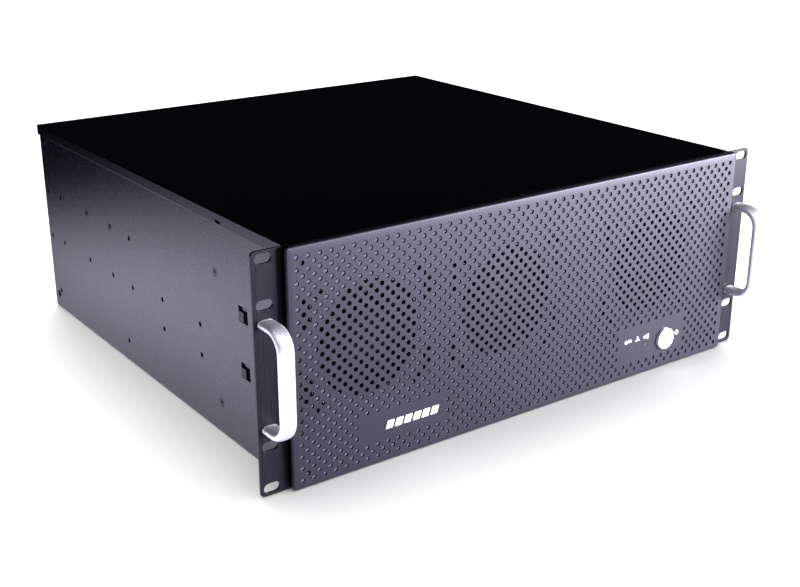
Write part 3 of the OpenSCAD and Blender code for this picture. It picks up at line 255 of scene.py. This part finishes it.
MATERIAL = {
    "case": coat(
        "case_coat", (0.0028, 0.0026, 0.0040), (0.0034, 0.0032, 0.0048), 0.27,
        grain=700, depth=0.0003, strength=0.5, tint=(0.86, 0.84, 1.0), fleck=(0.070, 0.068, 0.085),
    ),
    "cover": coat("cover_coat", (0.0016, 0.0014, 0.0026), (0.0020, 0.0018, 0.0032), 0.34, spec=0.35),
    "ear": coat(
        "ear_coat", (0.0050, 0.0047, 0.0070), (0.0062, 0.0058, 0.0085), 0.36,
        grain=700, depth=0.0002, spec=0.20, fleck=(0.016, 0.015, 0.020),
    ),
    "bezel": coat(
        "bezel_coat", (0.0085, 0.0080, 0.0120), (0.0100, 0.0095, 0.0140), 0.47,
        grain=900, depth=0.00006, strength=0.25, spec=0.33, tint=COOL_TINT,
    ),
    # The fan plate's coat is the bezel's coat made about five times lighter: painted light, so that the plate
    # seen through the holes shows brighter than the same coat would
    "plate": coat(
        "plate_painted_light_coat", (0.042, 0.040, 0.056), (0.050, 0.048, 0.066), 0.46,
        grain=900, depth=0.00006, strength=0.25, spec=0.40, tint=COOL_TINT,
    ),
    # Near-black coat for the bezel's folded sides: painted shade, standing for the dark band between the ears
    # and the bezel
    "painted_shade_side": coat(
        "painted_shade_side_coat", (0.0010, 0.0009, 0.0014), (0.0014, 0.0013, 0.0019), 0.55, spec=0.04
    ),
    "inner": coat("inner_coat", (0.012, 0.0115, 0.014), (0.016, 0.0155, 0.019), 0.45),
    "handle": metal(
        "satin_aluminium", (0.84, 0.84, 0.90), (0.92, 0.92, 0.97), 0.47, (1, 1, 0.12), 1600, 0.00002, 0.2, 0.8
    ),
    "screw": metal("screw_steel", (0.55, 0.55, 0.58), (0.70, 0.70, 0.74), 0.34, grain=1500, metallic=0.8),
    "screw_dark": metal("screw_black", (0.035, 0.035, 0.04), (0.06, 0.06, 0.065), 0.38, grain=1500),
    "white": plastic("white_plastic", (0.80, 0.80, 0.84), (0.88, 0.88, 0.92), 0.32, coat_weight=0.2),
    "print": plastic("white_print", (0.80, 0.80, 0.82), (0.88, 0.88, 0.9), 0.5),
    "black": plastic("black_plastic", (0.010, 0.010, 0.011), (0.018, 0.018, 0.020), 0.42),
    "red": plastic("red_plastic", (0.42, 0.020, 0.012), (0.52, 0.030, 0.018), 0.33, coat_weight=0.3),
    "brass": metal("brass", (0.66, 0.46, 0.18), (0.78, 0.57, 0.26), 0.30),
    "zinc": metal("zinc_sheet", ZINC_DARK, ZINC_LIGHT, 0.38, (1, 0.15, 1), 420, 0.00004, 0.35),
    "aluminium": metal("bare_aluminium", (0.70, 0.71, 0.73), (0.82, 0.83, 0.85), 0.33, (1, 0.1, 1), 900),
    "drive": metal("drive_metal", (0.42, 0.43, 0.45), (0.56, 0.57, 0.59), 0.36, (1, 1, 0.12), 700),
    "supply": metal("supply_grey", (0.20, 0.20, 0.215), (0.27, 0.27, 0.285), 0.42, (0.15, 1, 1), 600),
    "sleeve": plastic(
        "cable_sleeve", (0.010, 0.010, 0.012), (0.022, 0.022, 0.025), 0.6, 2200, 0.00008, 0.6
    ),
    "board": board("board_green", (0.010, 0.075, 0.032)),
    "lens": lens_material(),
    "card": card_material(),
}

NODE_MATERIAL = {
    "chassis_base": "case", "rear_panel": "case", "fan_plate": "plate", "front_top_strip": "cover",
    "top_cover": "cover", "cover_thumbscrews": "screw", "ear_left": "ear", "ear_right": "ear",
    "handle_left": "handle", "handle_right": "handle", "handle_screws": "screw_dark", "bezel": "bezel",
    "bezel_spacers": "screw_dark", "bezel_nuts": "screw",
    "front_badge": "print", "bracket_screws": "screw_dark", "brace_screws": "screw_dark",
    "rear_panel_screws": "screw_dark", "power_button": "white", "power_switch": "black",
    "mute_button": "black", "mute_switch": "black", "led_lenses": "lens", "control_board": "board",
    "control_standoffs": "brass", "fan_screws": "screw_dark", "drive_cage": "zinc", "drive_retainer": "zinc",
    "drive_backplane": "board", "cross_brace": "inner", "main_board": "board", "board_standoffs": "brass",
    "board_parts": "black", "cpu_heatsink": "aluminium", "memory_modules": "board", "io_ports": "zinc",
    "storage_card": "card", "slot_covers": "zinc", "slot_screws": "screw", "psu_case": "supply",
    "psu_fan_rotor": "black", "psu_inlet": "black", "psu_switch_frame": "black", "psu_rocker": "red",
    "psu_screws": "screw", "internal_cables": "sleeve",
}
for name, node in nodes.items():
    # The numbered drives and the fans' frames and rotors aren't in the list
    key = NODE_MATERIAL.get(name, "drive" if name.startswith("drive_") else "black")
    node.data.materials.clear()
    node.data.materials.append(MATERIAL[key])


# ---------------------------------------------------------------- mesh helpers
def mesh_object(name, verts, faces, material, body, sharp):
    """A smooth-shaded piece with edges kept sharp above the angle given in degrees."""
    mesh = bpy.data.meshes.new(name)
    mesh.from_pydata([tuple(p) for p in verts], [], [tuple(f) for f in faces])
    bm = bmesh.new()
    bm.from_mesh(mesh)
    bmesh.ops.recalc_face_normals(bm, faces=bm.faces)
    bm.to_mesh(mesh)
    bm.free()
    mesh.polygons.foreach_set("use_smooth", [True] * len(mesh.polygons))
    mesh.set_sharp_from_angle(angle=math.radians(sharp))
    mesh.materials.append(material)
    mesh.validate()
    piece = bpy.data.objects.new(name, mesh)
    scene.collection.objects.link(piece)
    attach(piece, body)
    return piece


def circle(cx, cz, r, n, start=0.0):
    angles = [start + 2 * math.pi * i / n for i in range(n)]
    return [(cx + r * math.cos(a), cz + r * math.sin(a)) for a in angles]


# ---------------------------------------------------------------- bezel: a folded sheet with every real hole
# The hole pattern in mm: rows half a pitch apart, and every other row shifted sideways by half a pitch
HOLE_PITCH = 9
HOLE_R = 1.72
HOLE_ROWS = 37
LONG_ROW = 48
FIRST_ROW_Z = 7
# Stretches without holes round the badge and the controls, as (x0, x1, z0, z1)
BLANKS = ((-163, -85.5, 20, 39), (91, 171, 15.5, 43.5))


def bezel_holes():
    """(x, z, radius, points) of each opening in the front sheet, in metres."""
    found = []
    for row in range(HOLE_ROWS):
        short = row % 2
        z = FIRST_ROW_Z + HOLE_PITCH / 2 * row
        for i in range(LONG_ROW - short):
            x = HOLE_PITCH * (i + short / 2 - (LONG_ROW - 1) / 2)
            if not any(x0 < x < x1 and z0 < z < z1 for x0, x1, z0, z1 in BLANKS):
                found.append((x * MM, z * MM, HOLE_R * MM, 16))
    found.append((*POWER, 9.55 * MM, 72))
    found.append((*MUTE, 2.1 * MM, 28))
    found += [(*place, 1.05 * MM, 20) for place in LENSES]
    return found


def bezel_rim(x0, x1, z0, z1):
    """The flat face's outline with rounded corners: (x, z, outward x, outward z) of each point."""
    corner, steps = 1.0 * MM, 5
    rim = []
    for x, z, first in ((x1, z1, 0), (x0, z1, 90), (x0, z0, 180), (x1, z0, 270)):
        cx = x - math.copysign(corner, x)
        cz = z - corner if z == z1 else z + corner
        for i in range(steps + 1):
            a = math.radians(first + 90 * i / steps)
            rim.append((cx + corner * math.cos(a), cz + corner * math.sin(a), math.cos(a), math.sin(a)))
    return rim


def make_bezel():
    sheet_t, fold_r, fold_steps = 1.5 * MM, 1.5 * MM, 6
    hole_edge = 0.14 * MM  # the soft edge of each hole
    rear_edge = 0.25 * MM  # the soft edge of the folded sides' rear
    x1 = bezel_hi.x - fold_r
    rim = bezel_rim(bezel_lo.x + fold_r, x1, bezel_lo.z + fold_r, bezel_hi.z - fold_r)
    rim_n = len(rim)

    # The flat face: triangles between the outline and the holes, without those that fill a hole
    flat = [Vector((x, z)) for x, z, _, _ in rim]
    edges = [(i, (i + 1) % rim_n) for i in range(rim_n)]
    loops = []
    hole_of = [-1] * rim_n
    for number, (x, z, r, n) in enumerate(bezel_holes()):
        start = len(flat)
        flat += [Vector(p) for p in circle(x, z, r + hole_edge, n, math.pi / n)]
        edges += [(start + i, start + (i + 1) % n) for i in range(n)]
        loops.append((start, n, x, z, r))
        hole_of += [number] * n
    points, _, triangles, origins, _, _ = geometry.delaunay_2d_cdt(flat, edges, [], 0, 1e-9)
    assert len(points) == len(flat)
    face = []
    for triangle in triangles:
        a, b, c = (origins[i][0] for i in triangle)
        if hole_of[a] < 0 or not hole_of[a] == hole_of[b] == hole_of[c]:
            face.append([a, b, c])
    verts = [(p.x, FRONT_Y, p.y) for p in flat]
    faces = list(face)

    def ring(y, offset):
        start = len(verts)
        verts.extend((x + dx * offset, y, z + dz * offset) for x, z, dx, dz in rim)
        return start

    def bridge(a, b, n):
        for i in range(n):
            j = (i + 1) % n
            faces.append([a + i, a + j, b + j, b + i])

    # Round the fold, back along the sides, over their rear edge and inside to the back of the sheet
    outline = []
    for step in range(1, fold_steps + 1):
        a = math.radians(90 * step / fold_steps)
        outline.append((FRONT_Y + fold_r * (1 - math.cos(a)), fold_r * math.sin(a)))
    outline += [(EAR_Y - rear_edge, fold_r), (EAR_Y, fold_r - rear_edge), (EAR_Y, 0), (FRONT_Y + sheet_t, 0)]
    last = 0
    for y, offset in outline:
        here = ring(y, offset)
        bridge(last, here, rim_n)
        last = here

    # Each hole's soft edge and wall, and the back of the sheet
    back = {i: last + i for i in range(rim_n)}
    for start, n, x, z, r in loops:
        wall = circle(x, z, r, n, math.pi / n)
        front_loop = len(verts)
        verts.extend((px, FRONT_Y + hole_edge, pz) for px, pz in wall)
        back_loop = len(verts)
        verts.extend((px, FRONT_Y + sheet_t, pz) for px, pz in wall)
        bridge(start, front_loop, n)
        bridge(front_loop, back_loop, n)
        back.update({start + i: back_loop + i for i in range(n)})
    faces += [[back[i] for i in reversed(f)] for f in face]

    piece = mesh_object("bezel_sheet", verts, faces, MATERIAL["bezel"], "enclosure", sharp=30)
    # The folded left and right sides take the near-black coat: painted shade
    piece.data.materials.append(MATERIAL["painted_shade_side"])
    for f in piece.data.polygons:
        if abs(f.normal.x) > 0.9 and f.center.y > FRONT_Y + fold_r and abs(f.center.x) > x1:
            f.material_index = 1
    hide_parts("bezel")


make_bezel()


# ---------------------------------------------------------------- handles: bent bars with a neck at each foot
def make_handle(name, node):
    lo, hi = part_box(node)
    x_middle = (lo.x + hi.x) / 2
    bar_w, bar_t = hi.x - lo.x, 6 * MM
    grip_y = lo.y + bar_t / 2
    bend_r, bend_steps, grip_steps = 14 * MM, 12, 5
    top, bottom = hi.z - bar_t / 2, lo.z + bar_t / 2
    # The neck, as (distance from the ear in mm, size)
    neck = ((0, 1.0), (1.0, 1.0), (1.3, 0.97), (1.35, 0.90), (1.9, 0.90), (2.2, 1.0))
    bends = [90 * i / bend_steps for i in range(1, bend_steps + 1)]

    # The bar's middle line from foot to foot: (y, z, tangent angle in the y-z plane, size)
    path = [(EAR_Y - d * MM, top, 180, size) for d, size in neck]
    path.append((grip_y + bend_r, top, 180, 1))
    for turned in bends:
        a = math.radians(turned)
        y, z = grip_y + bend_r - bend_r * math.sin(a), top - bend_r + bend_r * math.cos(a)
        path.append((y, z, 180 + turned, 1))
    for i in range(1, grip_steps + 1):
        path.append((grip_y, top - bend_r + (bottom - top + 2 * bend_r) * i / grip_steps, 270, 1))
    for turned in bends:
        a = math.radians(turned)
        y, z = grip_y + bend_r - bend_r * math.cos(a), bottom + bend_r - bend_r * math.sin(a)
        path.append((y, z, 270 + turned, 1))
    path += [(EAR_Y - d * MM, bottom, 360, size) for d, size in reversed(neck)]

    # A slightly squared oval
    n, squareness = 40, 2.7
    section = []
    for i in range(n):
        a = 2 * math.pi * i / n
        u, v = (math.copysign(abs(c) ** (2 / squareness), c) for c in (math.cos(a), math.sin(a)))
        section.append((u * bar_w / 2, v * bar_t / 2))
    verts, faces = [], []
    for y, z, angle, size in path:
        a = math.radians(angle)
        across_y, across_z = -math.sin(a), math.cos(a)
        for u, v in section:
            verts.append((x_middle + u * size, y + across_y * v * size, z + across_z * v * size))
    for k in range(len(path) - 1):
        for i in range(n):
            j = (i + 1) % n
            faces.append([k * n + i, k * n + j, (k + 1) * n + j, (k + 1) * n + i])
    faces.append(list(range(n))[::-1])
    faces.append([(len(path) - 1) * n + i for i in range(n)])
    piece = mesh_object(name, verts, faces, MATERIAL["handle"], "enclosure", sharp=40)
    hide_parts(node)
    return piece


HANDLES = [make_handle("bail_handle_left", "handle_left"), make_handle("bail_handle_right", "handle_right")]


# ---------------------------------------------------------------- power button, turned along Y
def lathe(name, cx, cz, profile, n, material, body, slot):
    """profile: (radius, y) from the front middle outwards and back."""
    verts, faces, rows = [], [], []
    for r, y in profile:
        around = circle(cx, cz, r, n) if r > 0 else [(cx, cz)]
        rows.append(list(range(len(verts), len(verts) + len(around))))
        verts.extend((x, y, z) for x, z in around)
    for row, following in zip(rows, rows[1:]):
        for i in range(n):
            j = (i + 1) % n
            if len(row) == 1:
                faces.append([row[0], following[j], following[i]])
            elif len(following) == 1:
                faces.append([row[i], row[j], following[0]])
            else:
                faces.append([row[i], row[j], following[j], following[i]])
    return mesh_object(name, verts, faces, material, body, sharp=35)


def make_power_button():
    lo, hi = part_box("power_button")
    cap_r, flange_r, stem_r = 9.25 * MM, (hi.x - lo.x) / 2, 3 * MM
    rim_r, rim_steps = 0.75 * MM, 6
    flange_front = FRONT_Y + 1.8 * MM
    flange_back = flange_front + 1.5 * MM
    # A shallow dish, (share of the cap's radius, depth in mm), then the rounded rim, the flange and the stem
    dish = ((0, 0.22), (0.45, 0.19), (0.72, 0.10), (0.80, 0.03))
    profile = [(cap_r * share, lo.y + depth * MM) for share, depth in dish]
    for i in range(rim_steps + 1):
        a = math.radians(90 * i / rim_steps)
        profile.append((cap_r - rim_r + rim_r * math.sin(a), lo.y + rim_r * (1 - math.cos(a))))
    profile += [(cap_r, flange_front), (flange_r, flange_front), (flange_r, flange_back)]
    profile += [(stem_r, flange_back), (stem_r, hi.y), (0, hi.y)]
    piece = lathe("power_cap", *POWER, profile, 96, MATERIAL["white"], "power_button", "white_plastic")
    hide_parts("power_button")


make_power_button()


# ---------------------------------------------------------------- printed marks, generic
def printed(name, outlines):
    """Closed outlines in (x, z), each made into a thin plate just off the bezel's face."""
    y_front, y_back = FRONT_Y - 0.06 * MM, FRONT_Y - 0.005 * MM
    bm = bmesh.new()
    for points in outlines:
        front = [bm.verts.new((x, y_front, z)) for x, z in points]
        back = [bm.verts.new((x, y_back, z)) for x, z in points]
        bm.faces.new(front)
        bm.faces.new(back[::-1])
        n = len(points)
        for i in range(n):
            j = (i + 1) % n
            bm.faces.new([front[i], back[i], back[j], front[j]])
    bmesh.ops.recalc_face_normals(bm, faces=bm.faces)
    mesh = bpy.data.meshes.new(name)
    bm.to_mesh(mesh)
    bm.free()
    mesh.materials.append(MATERIAL["print"])
    piece = bpy.data.objects.new(name, mesh)
    scene.collection.objects.link(piece)
    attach(piece, "enclosure")


def arc(cx, cz, r, first, last, n):
    angles = [math.radians(first + (last - first) * i / n) for i in range(n + 1)]
    return [(cx + r * math.cos(a), cz + r * math.sin(a)) for a in angles]


def arc_band(cx, cz, r, w, first, last, n):
    return arc(cx, cz, r + w / 2, first, last, n) + arc(cx, cz, r - w / 2, first, last, n)[::-1]


def bar(cx, cz, w, h):
    return [(cx + u * w / 2, cz + v * h / 2) for u, v in ((-1, -1), (1, -1), (1, 1), (-1, 1))]


def make_power_mark():
    x, z = POWER[0] + 15.2 * MM, POWER[1] + 1.8 * MM
    stroke = 0.55 * MM
    outlines = [arc_band(x, z, 1.75 * MM, stroke, 122, 418, 40), bar(x, z + 1.2 * MM, stroke, 2.1 * MM)]
    printed("power_mark", outlines)


def make_control_marks():
    """Three small signs over the lights and the mute button, drawn on a unit of k."""
    k = 1.5 * MM
    z = POWER[1] + 6.6 * MM
    # A thermometer on its side
    x = LENSES[0][0] - 1.0 * MM
    marks = [bar(x + 1.0 * k, z, 3.6 * k, 0.8 * k), circle(x - 1.3 * k, z, 1.05 * k, 24)]
    marks += [bar(x + u * k, z + 0.85 * k, 0.32 * k, 0.9 * k) for u in (0.4, 1.3, 2.2)]
    # A fan: a hub and three oval blades
    x = LENSES[1][0] + 0.4 * MM
    marks.append(circle(x, z, 0.38 * k, 16))
    blade_n = 18
    for angle in (90, 210, 330):
        c, s = math.cos(math.radians(angle)), math.sin(math.radians(angle))
        blade = []
        for i in range(blade_n):
            a = 2 * math.pi * i / blade_n
            u, v = 1.18 + 0.72 * math.cos(a), 0.42 * math.sin(a) + 0.14
            blade.append((x + (u * c - v * s) * k, z + (u * s + v * c) * k))
        marks.append(blade)
    # A loudspeaker and its two waves
    x = MUTE[0] + 0.4 * MM
    horn = ((-1.9, -0.6), (-1.1, -0.6), (0.0, -1.5), (0.0, 1.5), (-1.1, 0.6), (-1.9, 0.6))
    marks.append([(x + u * k, z + v * k) for u, v in horn])
    marks += [arc_band(x, z, r * k, 0.38 * k, -48, 48, 14) for r in (1.1, 2.0)]
    printed("control_marks", marks)


make_power_mark()
make_control_marks()

# ---------------------------------------------------------------- soft edges on the shown CAD sheets, in mm
SOFT_EDGES = {
    "chassis_base": 0.25, "top_cover": 0.35, "front_top_strip": 0.3,
    "ear_left": 0.35, "ear_right": 0.35, "front_badge": 0.12,
}
for name, width in SOFT_EDGES.items():
    weld = nodes[name].modifiers.new("weld", "WELD")
    weld.merge_threshold = 0.005 * MM
    bevel = nodes[name].modifiers.new("edge", "BEVEL")
    bevel.width = width * MM
    bevel.segments = 2
    bevel.limit_method = "ANGLE"
    bevel.angle_limit = math.radians(40)
    bevel.harden_normals = True
    bevel.use_clamp_overlap = True


# ---------------------------------------------------------------- floor and world
def camera_split(nt, elsewhere, seen, out):
    """Show one shader to the camera and give the other to everything else."""
    mix = nt.nodes.new("ShaderNodeMixShader")
    path = nt.nodes.new("ShaderNodeLightPath")
    nt.links.new(path.outputs["Is Camera Ray"], mix.inputs[0])
    nt.links.new(elsewhere.outputs[0], mix.inputs[1])
    nt.links.new(seen.outputs[0], mix.inputs[2])
    nt.links.new(mix.outputs[0], out.inputs[0])


def floor_material():
    """White to the camera; to the pieces a glow that fades with distance and is weaker beside the case."""
    m = bpy.data.materials.new("pale_floor")
    m.use_nodes = True
    nt = m.node_tree
    nt.nodes.clear()
    out = nt.nodes.new("ShaderNodeOutputMaterial")
    coords = nt.nodes.new("ShaderNodeTexCoord")
    distance = nt.nodes.new("ShaderNodeVectorMath")
    distance.operation = "DISTANCE"
    distance.inputs[1].default_value = (-0.1, -0.22, 0)  # the middle of the glow
    nt.links.new(coords.outputs["Object"], distance.inputs[0])
    xyz = nt.nodes.new("ShaderNodeSeparateXYZ")
    nt.links.new(coords.outputs["Object"], xyz.inputs[0])
    fade = remap(nt, distance.outputs["Value"], 2.4, 0.0, 0.42, 0.95, smooth=True)
    shade = remap(nt, xyz.outputs["X"], 1.0, 0.38, -0.34, -0.19, smooth=True)
    lit_right = remap(nt, xyz.outputs["X"], 0.0, 0.24, 0.0, 0.35, smooth=True)
    glow = nt.nodes.new("ShaderNodeEmission")
    glow.inputs["Color"].default_value = (0.85, 0.81, 1.0, 1)
    level = combine(nt, "MULTIPLY", fade, combine(nt, "ADD", shade, lit_right))
    nt.links.new(level, glow.inputs["Strength"])
    seen = nt.nodes.new("ShaderNodeBsdfDiffuse")
    seen.inputs["Color"].default_value = (0.9, 0.9, 0.9, 1)
    camera_split(nt, glow, seen, out)
    return m


def make_floor():
    half = 8
    mesh = bpy.data.meshes.new("floor")
    corners = [(-half, -half, 0), (half, -half, 0), (half, half, 0), (-half, half, 0)]
    mesh.from_pydata(corners, [], [(0, 1, 2, 3)])
    mesh.materials.append(floor_material())
    stage = bpy.data.objects.new("floor", mesh)
    scene.collection.objects.link(stage)
    return stage


def background(nt, colour, strength):
    shader = nt.nodes.new("ShaderNodeBackground")
    shader.inputs["Color"].default_value = (*colour, 1)
    shader.inputs["Strength"].default_value = strength
    return shader


def make_world():
    world = bpy.data.worlds.new("studio")
    scene.world = world
    world.use_nodes = True
    nt = world.node_tree
    nt.nodes.clear()
    out = nt.nodes.new("ShaderNodeOutputWorld")
    camera_split(nt, background(nt, (0.8, 0.8, 1.0), 0.004), background(nt, (1, 1, 1), 1.05), out)


floor = make_floor()
make_world()

# ---------------------------------------------------------------- what each light falls on
TOP_NODES = ("top_cover", "front_top_strip")
REAR_NODES = (
    "rear_panel", "io_ports", "slot_covers", "slot_screws", "psu_case", "psu_inlet", "psu_switch_frame",
    "psu_rocker", "psu_screws", "psu_fan_rotor", "cover_thumbscrews", "storage_card",
)
OUTER_NODES = TOP_NODES + REAR_NODES + (
    "chassis_base", "ear_left", "ear_right", "handle_left", "handle_right", "bezel", "front_badge",
    "power_button", "mute_button", "led_lenses", "bracket_screws", "brace_screws", "rear_panel_screws",
)


def collection(name, objects):
    c = bpy.data.collections.new(name)
    for o in objects:
        c.objects.link(o)
    return c


top_pieces = [nodes[n] for n in TOP_NODES]
floor_only = collection("floor_only", [floor])
handles_only = collection("handles_only", HANDLES)
rear_only = collection("rear_only", [nodes[n] for n in REAR_NODES])
plate_only = collection("plate_only", [nodes["fan_plate"]])
top_only = collection("top_only", top_pieces)
inside_only = collection("inside_only", [o for n, o in nodes.items() if n not in OUTER_NODES])
# Everything but the pieces named here
most_pieces = collection("most_pieces", [floor] + top_pieces + HANDLES)
for item in most_pieces.collection_objects:
    item.light_linking.link_state = "EXCLUDE"


# ---------------------------------------------------------------- lights
def light(name, data, direction, falls_on):
    o = bpy.data.objects.new(name, data)
    o.rotation_mode = "QUATERNION"
    o.rotation_quaternion = direction.to_track_quat("-Z", "Y")
    scene.collection.objects.link(o)
    o.light_linking.receiver_collection = falls_on
    return o


def sun(name, direction, strength, angle):
    data = bpy.data.lights.new(name, "SUN")
    data.energy = strength
    data.angle = math.radians(angle)
    light(name, data, Vector(direction), floor_only)


def softbox(name, place, aim, size, power, falls_on, colour=(0.94, 0.93, 1.0)):
    data = bpy.data.lights.new(name, "AREA")
    data.shape = "RECTANGLE"
    data.size, data.size_y = size
    data.energy = power
    data.color = colour
    box = light(name, data, Vector(aim) - Vector(place), falls_on)
    box.location = place
    box.visible_camera = False


KEY = ((0.84, -0.99, 0.26), (0.0, -0.2, 0.12), (0.94, 0.4))  # place, aim and size of the key light
sun("floor_soft", (0, 0, -1), 4.0, 130)
sun("floor_key", (-0.65, -0.75, -1), 3.4, 60)
softbox("key_right", *KEY, 96, most_pieces)
softbox("handle_key", *KEY, 34, handles_only)
softbox("plate_fill", (-1.0, -1.15, 0.85), (0, -0.2, 0.1), (0.3, 0.3), 195, plate_only)
softbox("fill_left", (-1.4, -2.0, 1.0), (-0.1, -0.2, 0.09), (1.2, 1.0), 2, most_pieces)
softbox("handle_top", (-0.2, -0.75, 1.3), (0, -0.24, 0.1), (1.6, 1.0), 9, handles_only)
softbox("handle_front", (-0.5, -1.6, 0.35), (0, -0.24, 0.1), (1.2, 0.9), 3, handles_only)
softbox("handle_side", (-1.5, -0.3, 0.5), (-0.23, -0.24, 0.1), (1.0, 0.8), 1.5, handles_only)
softbox("rear_fill", (-0.5, 1.6, 0.8), (0, 0.25, 0.09), (1.6, 0.8), 30, rear_only)
softbox("top_key", (0.92, -0.95, 0.27), (0.02, -0.2, 0.12), (0.95, 0.4), 0.8, top_only)
softbox("top_back", (1.3, 1.9, 0.95), (0, 0, 0.18), (2.6, 1.2), 0.13, top_only, (0.62, 0.60, 1.0))
softbox("inside_top", (0.0, 0.0, 1.5), (0, 0, 0.1), (1.4, 1.2), 45, inside_only)

scene.view_settings.view_transform = "Standard"
scene.view_settings.look = "None"
